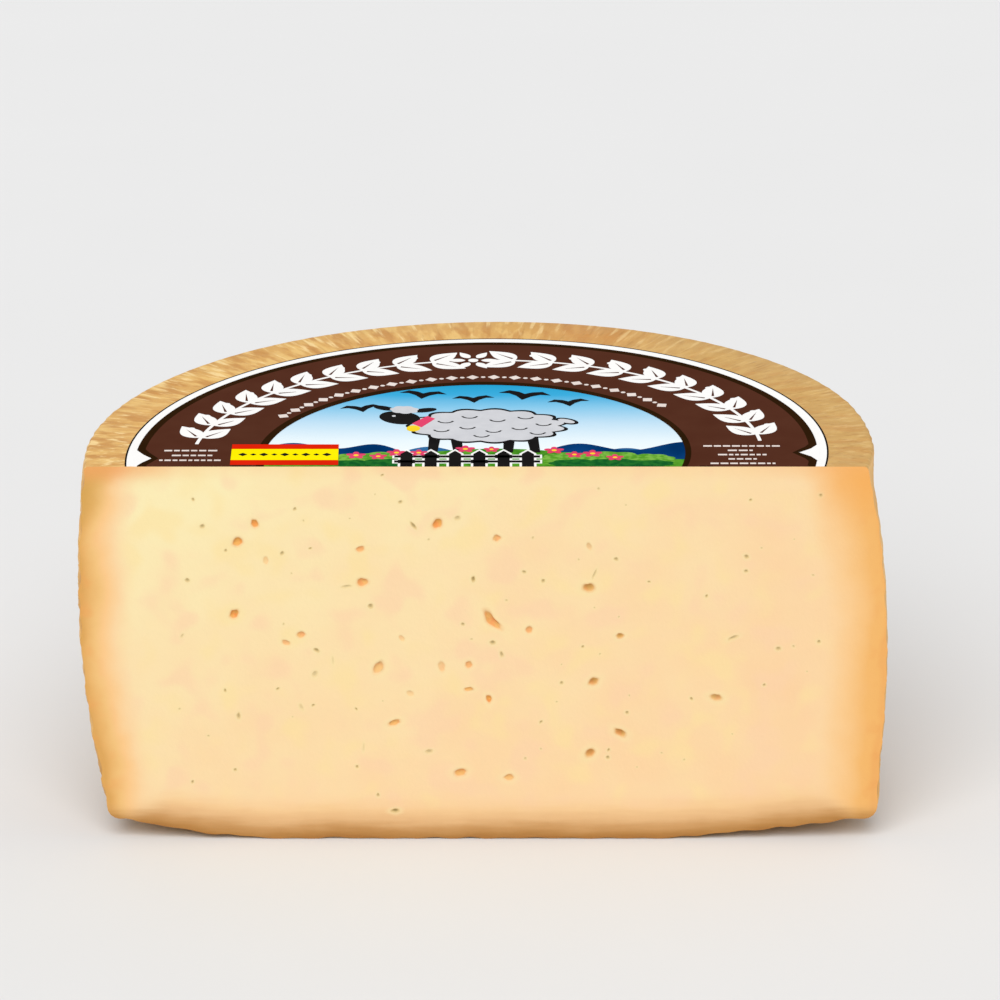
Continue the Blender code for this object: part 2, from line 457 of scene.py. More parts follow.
# Each eye's place across and up the cut face, its width, height and tilt, in millimetres and
# degrees, and how deep and dark it is, 1 for most. A pinhole has its place and width alone.
eyes = [
    (-60.3, 79.4, 3.0, 2.2, 35, 1.0), (-56.1, 84.3, 2.5, 1.9, -60, 1.0),
    (-53.4, 74.5, 2.3, 1.4, -85, 0.5), (-61.4, 60.2, 2.7, 2.3, 60, 1.2),
    (-44.8, 54.8, 2.5, 1.7, 12, 0.8), (-48.6, 52.7, 2.3, 1.5, -20, 0.7),
    (-29.6, 68.7, 3.1, 2.2, 12, 0.9), (-33.5, 67.6, 2.8, 0.8, 8, 0.5),
    (-30.1, 77.5, 2.3, 1.7, 25, 0.8), (-10.9, 84.2, 3.0, 2.6, 50, 1.0),
    (-6.0, 85.7, 1.5, 1.2, 20, 0.6), (3.7, 80.4, 2.1, 1.9, 0, 0.8),
    (3.0, 58.9, 7.0, 2.3, -50, 0.9), (11.7, 56.1, 2.1, 1.8, 80, 0.8),
    (26.5, 67.3, 3.0, 2.3, 10, 1.0), (27.9, 70.9, 3.0, 0.6, 68, 0.5),
    (26.5, 78.3, 2.3, 1.2, -70, 0.55), (34.3, 54.5, 1.8, 1.5, 0, 1.0),
    (27.7, 42.3, 2.6, 2.0, 32, 1.0), (34.5, 28.6, 3.4, 1.7, -32, 1.2),
    (27.0, 23.2, 2.7, 2.1, 40, 1.0), (58.3, 38.1, 2.8, 1.9, -10, 0.9),
    (62.4, 54.0, 2.8, 0.9, 22, 0.6), (-25.8, 46.0, 3.6, 2.6, 60, 0.75),
    (-19.9, 53.8, 2.0, 1.3, -50, 0.5), (-10.0, 46.3, 3.2, 1.8, -80, 0.55),
    (-3.2, 46.8, 2.1, 1.9, 0, 0.8), (-3.3, 40.3, 2.4, 1.1, 3, 0.9),
    (1.7, 37.7, 2.1, 1.5, -78, 1.2), (-17.9, 39.1, 2.2, 1.5, -29, 0.45),
    (-21.8, 31.3, 3.1, 1.6, 20, 0.9), (-5.4, 17.9, 3.0, 2.1, 15, 0.9),
    (6.8, 16.6, 2.6, 1.8, 5, 0.8), (-21.7, 7.6, 2.0, 1.1, 2, 0.9),
    (-41.1, 50.7, 1.6, 1.0, -34, 0.8), (-41.5, 44.3, 1.9, 1.3, 64, 0.5),
    (-37.0, 47.9, 2.6, 0.6, -84, 0.3), (-16.9, 83.7, 2.2, 0.8, -53, 0.8),
    (-60.6, 33.1, 1.7, 0.9, -88, 0.7), (-13.2, 23.6, 1.8, 1.1, 10, 0.6),
    (-29.5, 24.6, 2.6, 0.6, 86, 0.3), (2.7, 52.7, 1.4, 1.1, 0, 0.8),
    (4.9, 49.6, 1.6, 0.9, -76, 0.7), (-2.1, 69.6, 1.6, 1.0, 90, 0.9),
    (73.6, 51.1, 1.3, 1.0, 0, 0.7), (-74.4, 54.5, 1.4, 0.7, 63, 0.45),
    (-45.0, 35.5, 1.8, 1.0, -66, 0.4),
]
pinholes = [
    (-27.6, 62.4, 1.4), (-49.4, 76.4, 1.2), (-69.0, 83.5, 1.2), (-72.9, 69.3, 1.2),
    (-20.1, 89.9, 1.0), (-24.5, 97.0, 0.9), (15.2, 69.1, 1.0), (33.2, 74.9, 1.1),
    (31.4, 22.0, 1.0), (31.6, 24.0, 0.9), (14.7, 31.5, 1.0), (-42.4, 77.7, 0.9),
    (65.5, 75.5, 1.3), (65.4, 71.7, 1.0), (83.7, 53.0, 1.0), (-26.0, 11.9, 1.0),
    (-42.0, 36.0, 0.9), (-31.3, 35.0, 0.9), (19.8, 42.0, 0.9), (55.7, 65.1, 0.9),
    (-50.8, 40.4, 0.9), (82.0, 70.6, 0.8), (10.8, 21.7, 0.8), (28.8, 93.4, 0.8),
]
faint_count = 46
faint_gap = 3.4
chance = random.Random(11)
while faint_count:
    faint = (chance.uniform(-78, 84), chance.uniform(14, 92), chance.uniform(0.45, 1.0))
    gaps = [math.hypot(faint[0] - spot[0], faint[1] - spot[1]) for spot in eyes + pinholes]
    if min(gaps) > faint_gap:
        pinholes.append(faint)
        faint_count -= 1
for x, z, size in pinholes:
    height, tilt = size * chance.uniform(0.6, 0.95), chance.uniform(-90, 90)
    eyes.append((x, z, size, height, tilt, 0.75 if size > 0.8 else 0.5))
long_eye = 5.0
long_eye_bend = -0.11
long_eye_taper = 0.3
eye_ragged = 0.24
eye_hollow = 0.2
hollow_lift = 0.1
free_gap = 0.62
halo_rings = [(1.35, 0.26), (2.0, 0.1), (2.7, 0.0)]
hollow_rings = [
    (0.9, 0.12), (0.78, 0.34), (0.64, 0.56), (0.48, 0.76), (0.32, 0.91), (0.15, 0.98),
]


def eye_ring(eye, seed, count, reach, sunk=0.0):
    """The points of a ring round or inside an eye, reach times its width, sunk behind the cut."""
    x, z, width, height, tilt, _ = eye
    turned = math.radians(tilt)
    bend = long_eye_bend * width if width > long_eye else 0.0
    ring = []
    for step in range(count):
        angle = 2 * math.pi * step / count
        way = Vector((math.cos(angle), math.sin(angle), seed))
        ragged = 1 + eye_ragged * noise.noise(way * 1.4)
        across = width / 2 * reach * ragged * math.cos(angle)
        up = height / 2 * reach * ragged * math.sin(angle)
        if width > long_eye:
            up *= 1.0 - long_eye_taper * across / width
        up += bend * (1 - min(1.0, (2 * across / width) ** 2))
        place_x = cut_middle_x + (x + across * math.cos(turned) - up * math.sin(turned)) * MM
        place_z = (z + across * math.sin(turned) + up * math.cos(turned)) * MM
        ring.append(Vector((place_x, cut_y + sunk * MM, place_z)))
    return ring


def inside(spot, outline):
    """True if a point of the cut face lies inside an outline."""
    crossings = False
    for one, two in zip(outline, outline[1:] + outline[:1]):
        if (one.z > spot.z) != (two.z > spot.z):
            at = one.x + (two.x - one.x) * (spot.z - one.z) / (two.z - one.z)
            crossings ^= spot.x < at
    return crossings


border = [top_number]
border += [row[0] for row in row_numbers]
border += [base_number]
border += [row[-1] for row in reversed(row_numbers)]
cut_points = list(border)
cut_edges = [(step, (step + 1) % len(border)) for step in range(len(border))]
rims, halo_outlines, paste_faces = [], [], []
for seed, eye in enumerate(eyes):
    x, _, width, height, _, depth = eye
    count = 60 if width > long_eye else 26 if width > 1.6 else 12
    dry = 1.0 if width * height < 2.6 else 0.4 if x > 25 else 0.0
    tone = min(1.0, depth)
    rim = [add_point(point, halo=tone, dry=dry) for point in eye_ring(eye, seed, count, 1.0)]
    first = len(cut_points)
    cut_points += rim
    cut_edges += [(first + step, first + (step + 1) % count) for step in range(count)]
    rims.append([points[number] for number in rim])
    halo_outlines.append(eye_ring(eye, seed, count, halo_rings[-1][0]))
    for reach, strength in halo_rings:
        for point in eye_ring(eye, seed, count, reach):
            crowded = any(
                (point - Vector((cut_middle_x + near[0] * MM, cut_y, near[1] * MM))).length
                < near[2] * free_gap * MM
                for near in eyes
                if near is not eye
            )
            if not crowded:
                cut_points.append(add_point(point, halo=strength * tone, dry=dry))
    bottom = eye_hollow * math.sqrt(width * height) * depth
    rise = hollow_lift * height
    outer = rim
    for reach, sunk in hollow_rings:
        ring = eye_ring(eye, seed, count, reach, sunk=sunk * bottom)
        shift = Vector((0, 0, rise * sunk * MM))
        inner = [add_point(point + shift, 0, sunk, tone, dry) for point in ring]
        for step in range(count):
            after = (step + 1) % count
            paste_faces.append((outer[step], outer[after], inner[after], inner[step]))
        outer = inner
    middle = sum((points[number] for number in inner), Vector()) / count
    deepest = add_point(Vector((middle.x, cut_y + bottom * MM, middle.z)), 0, 1, tone, dry)
    for step in range(count):
        paste_faces.append((outer[step], outer[(step + 1) % count], deepest))

# The cut face
# The knife left the paste flat and smooth. A loose net of triangles fills the face between the
# wheel's outline and the eyes' rims.
net_step = 3.0 * MM
net_margin = 1.2 * MM
net_shake = 0.2
net_row_share = 0.87
close_side, close_base = 9 * MM, 8 * MM
border_outline = [points[number] for number in border]
left, right = min(p.x for p in border_outline), max(p.x for p in border_outline)
net_row = 0
z = net_margin
while z < wheel_height - net_margin:
    x = left + (net_row % 2) * net_step / 2
    while x < right:
        spot = Vector((x, cut_y, z))
        spot.x += chance.uniform(-net_shake, net_shake) * net_step
        spot.z += chance.uniform(-net_shake, net_shake) * net_step
        to_side = min(abs(spot.x - left), abs(spot.x - right))
        reach = (-1, 0, 1) if to_side < close_side or z < close_base else (0,)
        margins = [(dx, dz) for dx in reach for dz in reach]
        clear = all(
            inside(spot + Vector((dx, 0, dz)) * net_margin, border_outline) for dx, dz in margins
        )
        if clear and not any(inside(spot, outline) for outline in halo_outlines):
            cut_points.append(add_point(spot))
        x += net_step
    z += net_step * net_row_share
    net_row += 1
flat_points = [Vector((points[number].x / MM, points[number].z / MM)) for number in cut_points]
whole_face = [list(range(len(border)))]
net = delaunay_2d_cdt(flat_points, cut_edges, whole_face, 1, 0.0001)
net_points, net_faces, net_sources = net[0], net[2], net[3]
net_numbers = []
for spot, sources in zip(net_points, net_sources):
    if sources:
        net_numbers.append(cut_points[sources[0]])
    else:
        net_numbers.append(add_point(Vector((spot.x * MM, cut_y, spot.y * MM)), halo=1.0))
for face in net_faces:
    corners = [points[net_numbers[corner]] for corner in face]
    middle = sum(corners, Vector()) / len(corners)
    if not any(inside(middle, rim) for rim in rims):
        paste_faces.append(tuple(net_numbers[corner] for corner in face))

weld_reach = 0.002 * MM
crease = math.radians(38)
cheese_mesh = bpy.data.meshes.new("cheese")
cheese_mesh.from_pydata(points, [], rind_faces + paste_faces)
slots = [0] * len(rind_faces) + [1] * len(paste_faces)
cheese_mesh.polygons.foreach_set("material_index", slots)
for name, amounts in (
    ("belt_depth", belt_depths),
    ("hollow_depth", hollow_depths),
    ("halo", halos),
    ("dryness", drynesses),
):
    attribute = cheese_mesh.attributes.new(name, "FLOAT", "POINT")
    attribute.data.foreach_set("value", amounts)
welded = bmesh.new()
welded.from_mesh(cheese_mesh)
bmesh.ops.remove_doubles(welded, verts=welded.verts, dist=weld_reach)
bmesh.ops.recalc_face_normals(welded, faces=welded.faces)
welded.to_mesh(cheese_mesh)
welded.free()
cheese_mesh.shade_smooth()
cheese_mesh.set_sharp_from_angle(angle=crease)


def add_piece(name, mesh):
    """An object of the cheese that rides with it."""
    piece = bpy.data.objects.new(name, mesh)
    scene.collection.objects.link(piece)
    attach(piece, "root")
    return piece


cheese = add_piece("cheese_body", cheese_mesh)
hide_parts("half_cheese")

# The rind
# The dried and oiled outside of the curd: golden tan, darker the deeper it lies in the belt's
# channels and paler on its ridges, with cloudy patches and a fine grain.
top_light = 1.19
side_light = 0.95
rim_radius = 98.0
grain_depth = 0.3 * MM
rind, start, place = new_material("rind")
x, y, z = start.apart(place)
channel = start.amount("belt_depth")
on_top = z.rise(wheel_height / MM - 1.2, wheel_height / MM - 0.3)
clouds = start.speckle(place, 26.0, 3.0).rise(0.35, 0.65)
mottle = start.speckle(place, 6.0, 3.0, 1.0).rise(0.3, 0.7)
grain = start.speckle(place, 1.1, 4.0, 3.0)
side_colour = channel.steps(
    1.2,
    side_light,
    (0.0, 238, 196, 126),
    (0.45, 222, 170, 98),
    (1.1, 168, 112, 54),
)
cloudy_side = (clouds * 0.5).mix(side_colour, paint(196, 136, 70, side_light))
mottled_side = (mottle * 0.4).mix(cloudy_side, paint(240, 198, 130, side_light))
behind_axis = y - axis_y / MM
outward = (x * x + behind_axis * behind_axis) ** 0.5
around = x.maths("ARCTAN2", x, behind_axis) * rim_radius
to_right = x.rise(-20.0, 70.0)
broad = start.node("ShaderNodeCombineXYZ", sockets={0: around / 3.2, 1: outward / 9.0, 2: 0.0})
to_back = (behind_axis / rim_radius).most(0.0)
along = outward / (2.8 + to_back * 2.8)
narrow = start.node("ShaderNodeCombineXYZ", sockets={0: around / 1.4, 1: along, 2: 0.0})
top_colour = to_right.mix(paint(222, 172, 98, top_light), paint(204, 161, 94, top_light))
golden = start.speckle(broad, 1.0, 3.0, 6.0).rise(0.44, 0.6)
gilded = (golden * 0.65 * (1 - to_right * 0.7)).mix(top_colour, paint(243, 204, 128, top_light))
browned = start.speckle(broad, 1.2, 3.0, 13.0).rise(0.47, 0.62)
browned_share = browned * (0.75 - to_right * 0.35)
patched_top = browned_share.mix(gilded, paint(200, 141, 74, top_light))
near_edge = outward.rise(85.0, 97.0)
amber = behind_axis.rise(70.0, 86.0) * x.rise(4.0, 26.0) * (1 - x.rise(26.0, 52.0))
ambered = (amber * 0.6).mix(patched_top, paint(206, 142, 74, top_light))
dark_lines = start.speckle(narrow, 1.0, 2.0, 5.0).rise(0.54, 0.72)
lined = (dark_lines * (0.35 + to_right * 0.25)).mix(ambered, paint(176, 128, 68, top_light))
pale_lines = (start.speckle(narrow, 1.3, 3.0, 8.0) + near_edge * 0.07).rise(0.58, 0.7)
stroked = (pale_lines * (0.85 - to_right * 0.6)).mix(lined, paint(251, 220, 156, top_light))
rind_colour = on_top.mix(mottled_side, stroked)
speckled = (grain.rise(0.5, 0.8) * 0.2).mix(rind_colour, paint(170, 118, 60, side_light))
shine(
    start,
    Base_Color=speckled,
    Roughness=0.5 + clouds * 0.15,
    Normal=bumps(start, grain * 0.5 + mottle * 0.5, grain_depth),
    Specular_IOR_Level=0.12,
)

# The paste
# Ivory, warmer towards the lower right, and golden brown where it dried under the rind: a narrow
# band on the left, a wide one on the right and a dark one along the base. The eyes are deeper in
# colour than the face, each in a faint pale ring, and deeper still towards the bottom of each
# hollow, partly their own colour and partly painted shade.
cut_light = 1.23
half_width = 100.4
base_reach = 93.0
paste_depth = 0.12 * MM
paste, start, place = new_material("paste")
x, _, z = start.apart(place)
hollow = start.amount("hollow_depth")
halo = start.amount("halo")
dryness = start.amount("dryness")
belly = belly_height / MM
over, under = (z - belly).most(0.0), (belly - z).most(0.0)
over_curve = top_pull_in / MM / (wheel_height / MM - belly) ** 2
under_curve = base_pull_in / MM / belly**2
half = half_width - over * over * over_curve - under * under * under_curve
beside = x - ((cut_middle_x + wheel_shift) / MM + axis_lean * (z - belly))
patches = start.speckle(place, 17.0, 2.0)
small_patches = start.speckle(place, 5.0, 2.0, 4.0)
blotches = start.speckle(place, 9.0, 1.0, 9.0)
wander = (patches - 0.5) * 7.0 + (small_patches - 0.5) * 2.0
from_left, from_right = beside + half, half - beside
off_middle = beside.maths("ABSOLUTE", beside)
right_half = beside.rise(-20.0, 20.0)
flat = base_flat["left"] / MM - right_half * ((base_flat["left"] - base_flat["right"]) / MM)
share = ((off_middle - flat).most(0.0) / (base_reach - flat)).least(1.0)
power = base_power["left"] - right_half * (base_power["left"] - base_power["right"])
from_base = z - base_lift / MM * share**power
from_top = wheel_height / MM - z
warmth = from_left * 0.0045 * (1 - from_top / 130) + from_top * 0.0085 - 0.12
uneven_warmth = warmth + (patches - 0.5) * 0.6
ivory = uneven_warmth.mix(paint(254, 238, 184, cut_light), paint(254, 211, 162, cut_light))
yellowed = (blotches.rise(0.52, 0.72) * 0.5).mix(ivory, paint(254, 228, 162, cut_light))
peachy = (1 - blotches.rise(0.3, 0.48)) * 0.55
blotched = peachy.mix(yellowed, paint(254, 213, 172, cut_light))
clear_left = (from_left - 0.7 + wander).most(0.0)
left_band = clear_left.steps(
    14.0,
    cut_light,
    (0.0, 224, 168, 90),
    (1.5, 236, 181, 105),
    (3.7, 246, 197, 125),
    (5.7, 254, 204, 140),
    (8.9, 254, 217, 164),
    (13.0, 254, 227, 174),
)
with_left = (1 - clear_left.rise(8.0, 14.0)).mix(blotched, left_band)
clear_right = (from_right - 0.7 + wander).most(0.0)
right_band = clear_right.steps(
    24.0,
    cut_light,
    (0.0, 244, 178, 100),
    (1.2, 247, 186, 106),
    (3.2, 247, 187, 109),
    (5.7, 250, 196, 126),
    (9.6, 253, 206, 145),
    (15.5, 254, 217, 165),
)
to_side = clear_left.least(clear_right)
with_right = (1 - clear_right.rise(11.0, 20.0)).mix(with_left, right_band)
orange = small_patches.rise(0.5, 0.75) * (1 - to_side.rise(0.0, 8.0))
oranged = (orange * 0.5).mix(with_right, paint(240, 164, 88, cut_light))
striped = start.node("ShaderNodeCombineXYZ", sockets={0: x / 14.0, 1: 0.0, 2: z / 1.6})
press_lines = start.speckle(striped, 1.0, 3.0, 17.0) - 0.5
clear_base = (from_base - 0.3 + wander * 0.35 + press_lines * 2.4).most(0.0)
base_band = clear_base.steps(
    13.0,
    cut_light,
    (0.0, 176, 120, 58),
    (1.0, 189, 135, 71),
    (2.9, 211, 160, 101),
    (5.0, 235, 188, 133),
    (7.6, 248, 205, 149),
    (12.3, 254, 213, 164),
)
at_side = 1 - to_side.rise(3.0, 18.0)
base_share = 1 - (clear_base + at_side * 7.5).rise(6.0, 12.5)
with_base = base_share.mix(oranged, base_band)
to_corner = off_middle.rise(60.0, 98.0)
under_top = (from_top + wander * 0.25).most(0.0)
top_band = (1 - under_top.rise(0.0, 4.5)) * (to_corner * 0.5 + 0.22)
with_top = top_band.mix(with_base, paint(251, 194, 130, cut_light))
left_corner = 1 - (clear_left + under_top * 0.45).rise(3.0, 11.0)
left_tinted = (left_corner * 0.7).mix(with_top, paint(216, 166, 82, cut_light))
top_left = (1 - under_top.rise(0.6, 6.0)) * (1 - clear_left.rise(7.0, 24.0))
left_warmed = (top_left * 0.65).mix(left_tinted, paint(244, 166, 96, cut_light))
right_corner = (1 - clear_right.rise(2.0, 17.0)) * (1 - under_top.rise(3.0, 19.0))
right_tinted = (right_corner * 0.75).mix(left_warmed, paint(249, 176, 90, cut_light))
glow = (halo * 5.0).least(1.0)
in_paste = to_side.rise(3.0, 22.0)
ringed = (glow * in_paste * 0.4).mix(right_tinted, paint(254, 236, 180, cut_light))
# Painted shade: the big eyes turn a deeper, more saturated orange towards the bottom of each
# hollow, partly their own colour and partly painted shade.
ripe = start.speckle(place, 2.2, 2.0, 11.0).rise(0.42, 0.6)
eye_heart = ripe.mix(paint(238, 174, 88, cut_light), paint(240, 152, 76, cut_light))
orange_eye_and_painted_shade = hollow.rise(0.1, 0.6).mix(paint(240, 176, 110, cut_light), eye_heart)
# Painted shade: the small pale eyes and pinholes darken to olive brown towards the bottom of each
# hollow.
pale_eye_and_painted_shade = hollow.rise(0.2, 1.0).mix(paint(222, 190, 128, cut_light), paint(158, 134, 76, cut_light))
eye_colour_and_painted_shade = dryness.mix(orange_eye_and_painted_shade, pale_eye_and_painted_shade)
flecks = start.speckle(place, 1.7, 1.0, 14.0).rise(0.6, 0.72) * (1 - dryness)
flecked_eye = (flecks * 0.5).mix(eye_colour_and_painted_shade, paint(176, 136, 70, cut_light))
into_eye = (0.4 + dryness * 0.35 + hollow.rise(0.0, 0.35) * 0.6).least(1.0)
paste_colour = (halo**1.3 * into_eye).mix(ringed, flecked_eye)
fine = start.speckle(place, 0.9, 3.0, 7.0)
shine(
    start,
    Base_Color=paste_colour,
    Roughness=0.5 + small_patches * 0.12,
    Normal=bumps(start, fine * 0.4 + small_patches * 0.6, paste_depth),
    Specular_IOR_Level=0.25,
)
cheese_mesh.materials.append(rind)
cheese_mesh.materials.append(paste)

# The label's paper
# A round label of varnished paper, glued to the top and cut through with the cheese. It is a
# little oval with the wheel, white at its border, with a fine dark line at its edge.
paper_thickness = 0.12 * MM
paper_bottom = wheel_height
paper_top = paper_bottom + paper_thickness
label_middle = Vector((-1.8 * MM, cut_y + 8.4 * MM))
paper_radius = 86.9
edge_width = 0.45
past_cut = 15
fibre_size = 0.35
fibre_depth = 0.02 * MM
layer_step = 0.006 * MM
front_gap, front_step = 0.1 * MM, 0.004 * MM
neighbour_step = 0.0015 * MM
paper_light = 1.19


def polar(radius, degrees, stretch=True):
    """A place of the label in millimetres from its middle, degrees from its right edge."""
    angle = math.radians(degrees)
    reach = radius * (oval(angle) if stretch else 1.0)
    return (reach * math.cos(angle), reach * math.sin(angle))


def arc(radius, first, last, steps=96, stretch=True):
    """Places along an arc of the label."""
    turn = (last - first) / steps
    return [polar(radius, first + turn * step, stretch) for step in range(steps + 1)]


def ring_shape(outer, inner):
    """A ring of the label, open at the front, where the cut takes it away."""
    first, last = -past_cut, 180 + past_cut
    return arc(outer, first, last, 140) + arc(inner, last, first, 140)


def cut_off(outline, limit):
    """An outline with what lies in front of the cut taken away."""
    kept = []
    for one, two in zip(outline, outline[1:] + outline[:1]):
        if one[1] >= limit:
            kept.append(one)
        if (one[1] >= limit) != (two[1] >= limit):
            share = (limit - one[1]) / (two[1] - one[1])
            kept.append((one[0] + (two[0] - one[0]) * share, limit))
    return kept


def plates(name, outlines, layer, material):
    """Thin closed plates with these outlines: a layer of ink or paper, as one piece."""
    built = bmesh.new()
    limit = (cut_y + front_gap - layer * front_step - label_middle.y) / MM
    for number, outline in enumerate(outlines):
        kept = cut_off(outline, limit)
        if len(kept) < 3:
            continue
        top = paper_top + layer * layer_step + number % 3 * neighbour_step
        spots = [(label_middle.x + x * MM, label_middle.y + y * MM) for x, y in kept]
        low = [built.verts.new((*spot, paper_bottom)) for spot in spots]
        high = [built.verts.new((*spot, top)) for spot in spots]
        built.faces.new(low)
        built.faces.new(high)
        for step in range(len(kept)):
            built.faces.new((low[step - 1], low[step], high[step], high[step - 1]))
    bmesh.ops.recalc_face_normals(built, faces=built.faces)
    mesh = bpy.data.meshes.new(name)
    built.to_mesh(mesh)
    built.free()
    mesh.materials.append(material)
    return add_piece(name, mesh)


def printed(start, colour, fibres, roughness):
    """The finish of varnished paper, with its ink."""
    relief = bumps(start, fibres, fibre_depth)
    shine(start, Base_Color=colour, Roughness=roughness, Normal=relief, Specular_IOR_Level=0.0)


def ink(name, low, high, patch=9.0, contrast=0.5):
    """Printing ink in patches of two close colours, a little uneven on the paper's fibres."""
    material, start, place = new_material(name)
    fibres = start.speckle(place, fibre_size, 3.0)
    cover = start.speckle(place, patch, 2.0, 2.0).rise(0.5 - contrast / 2, 0.5 + contrast / 2)
    colour = (fibres * 0.3 + cover * 0.7).mix(paint(*low, paper_light), paint(*high, paper_light))
    printed(start, colour, fibres, 0.5 + cover * 0.12)
    return material


white_paper = ink("white_paper", (248, 247, 245), (252, 251, 249))
black_ink = ink("black_ink", (24, 22, 22), (34, 32, 32))
off_print = 0.7
sheet_outline = [(x, y + off_print) for x, y in arc(paper_radius, -past_cut, 180 + past_cut, 160)]
sheet = plates("label_sheet", [sheet_outline], 0, white_paper)
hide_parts("top_label")
edge_outline = [(x, y + off_print) for x, y in ring_shape(paper_radius, paper_radius - edge_width)]
plates("edge_line", [edge_outline], 1, black_ink)

# The label's picture
# A round view printed on the paper: a sky that pales to the skyline, navy hills and a green
# meadow with bushes. A grey sheep with a collar stands there, swallows fly above it, and a
# picket fence runs in front.
picture_radius = 53.4
sky_ink, start, place = new_material("sky_ink")
y = start.apart(place)[1]
haze = start.speckle(place, 8.0) * 2.0
up_sky = (y - (label_middle.y / MM - 3.0) + haze).most(0.0)
sky_colour = up_sky.steps(
    57.0,
    paper_light,
    (0.0, 250, 254, 255),
    (14.0, 232, 245, 251),
    (27.0, 194, 225, 244),
    (39.0, 134, 200, 234),
    (48.0, 62, 172, 220),
    (57.0, 28, 158, 206),
)
fibres = start.speckle(place, fibre_size, 3.0)
printed(start, sky_colour, fibres, 0.5 + fibres * 0.1)
navy_ink = ink("navy_ink", (0, 44, 92), (12, 66, 126), 11.0, 0.3)
far_hill_ink = ink("far_hill_ink", (20, 78, 134), (58, 118, 168), 11.0, 0.3)
meadow_ink = ink("meadow_ink", (52, 124, 24), (98, 168, 50), 2.4, 0.3)
bush_ink = ink("bush_ink", (72, 146, 30), (134, 190, 78), 1.6, 0.25)
shade_ink = ink("shade_ink", (12, 84, 38), (40, 118, 44), 1.6, 0.3)
wool_ink = ink("wool_ink", (202, 203, 208), (214, 215, 219), 4.0)
flower_ink = ink("flower_ink", (220, 58, 98), (232, 78, 116))
gold_ink = ink("gold_ink", (246, 206, 30), (254, 222, 60))


def moved(outline, x, y, size=1.0, degrees=0.0):
    """An outline drawn about its own middle, turned, sized and put in its place."""
    angle = math.radians(degrees)
    placed = []
    for along, across in outline:
        turned_x = along * math.cos(angle) - across * math.sin(angle)
        turned_y = along * math.sin(angle) + across * math.cos(angle)
        placed.append((x + size * turned_x, y + size * turned_y))
    return placed


def ellipse(width, height, steps=28, scallops=0, depth=0.0):
    """A closed oval, with a scalloped edge where it has scallops."""
    outline = []
    for step in range(steps):
        angle = 2 * math.pi * step / steps
        swell = 1 + depth * abs(math.sin(scallops * angle / 2))
        outline.append((width / 2 * swell * math.cos(angle), height / 2 * swell * math.sin(angle)))
    return outline


def skyline(x, level, sway, mounds):
    """How high a stretch of ground stands at x: its level, its waves and its mounds."""
    hills = sum(height * bell(x - middle, spread) for middle, height, spread in mounds)
    return level + sway * math.sin(x / 9) + hills


def ground(level, sway, mounds):
    """A stretch of ground across the whole picture."""
    edge = [(x, skyline(x, level, sway, mounds)) for x in range(-54, 55)]
    return edge + [(54, -14), (-54, -14)]


plates("sky", [arc(picture_radius, 0, 360, 120, stretch=False)[:-1]], 2, sky_ink)
far_range = ground(-3.0, 0.3, [(-12, 9.0, 9), (37, 8.0, 9)])
near_range = ground(-5.0, 0.4, [(-46, 13.0, 12), (-25, 12.0, 9), (25, 12.5, 11), (52, 14.5, 14)])
plates("far_hills", [far_range], 3, far_hill_ink)
plates("near_hills", [near_range], 4, navy_ink)
meadow_shape = (-3.4, 0.6, [(2, 7.4, 29)])
plates("meadow", [ground(*meadow_shape)], 5, meadow_ink)
bushes, bush_feet = [], []
for x, width in ((-40, 8), (-31.5, 12), (-23, 16), (23.5, 15), (33, 17), (42.5, 12)):
    bushes.append(moved(ellipse(width, width * 0.62, 64, 9, 0.12), x, -3.6))
    bush_feet.append(moved(ellipse(width * 0.8, width * 0.36, 48, 7, 0.14), x + 0.8, -6.4))
plates("bushes", bushes, 6, bush_ink)
plates("bush_shade", bush_feet, 7, shade_ink)

legs = []
for x, lean in ((-10.5, -0.6), (-5.5, 0.8), (8.0, -0.4), (13.5, 0.9)):
    foot = x + lean
    legs.append([(x - 1.5, 15), (x + 1.5, 15), (foot + 1.2, 1.4), (foot - 1.2, 1.4)])
wool_line = moved(ellipse(36.6, 23.6, 136, 15, 0.12), 2.5, 21.0)
wool = moved(ellipse(34.8, 21.6, 136, 15, 0.12), 2.5, 21.0)
tail_place = {"x": 22.2, "y": 24.5, "degrees": -34}
tail_line = moved(ellipse(6.8, 4.0), **tail_place)
tail = moved(ellipse(4.8, 2.4), **tail_place)
head = moved(ellipse(11.0, 9.0), -19.5, 27.0, degrees=-38)
near_ear = moved(ellipse(6.0, 3.0), -13.2, 32.6, degrees=18)
far_ear = moved(ellipse(5.6, 2.8), -23.6, 34.2, degrees=150)
plates("sheep_legs", legs, 8, black_ink)
plates("sheep_outline", [wool_line, tail_line], 9, black_ink)
plates("sheep_wool", [wool, tail], 10, wool_ink)
plates("sheep_head", [head, near_ear, far_ear], 11, black_ink)
curls = []
for x, y in (
    (-8, 25), (-2, 28.5), (5, 26), (12, 28), (-9, 18.5), (-2.5, 20.5),
    (4, 18), (10.5, 20), (16.5, 23), (1, 14.5), (15, 16.5),
):
    curl = arc(2.2, 195, 345, 12, False) + arc(1.65, 345, 195, 12, False)
    curls.append(moved(curl, x, y))
plates("wool_curls", curls, 11, black_ink)
fleece_cap = moved(ellipse(6.4, 5.0, 56, 7, 0.16), -18.4, 32.8, degrees=-10)
sheep_eye = moved(ellipse(1.0, 1.2, 14), -21.0, 28.2)
plates("fleece_cap", [fleece_cap, sheep_eye], 13, wool_ink)
collar = [(-16.4, 22.6), (-12.6, 28.2), (-10.6, 26.2), (-14.0, 19.8)]
plates("collar", [collar], 13, flower_ink)
plates("collar_bell", [moved(ellipse(3.4, 4.4), -16.0, 19.0)], 14, gold_ink)
petal_reach = 1.35
petals, flower_hearts = [], []
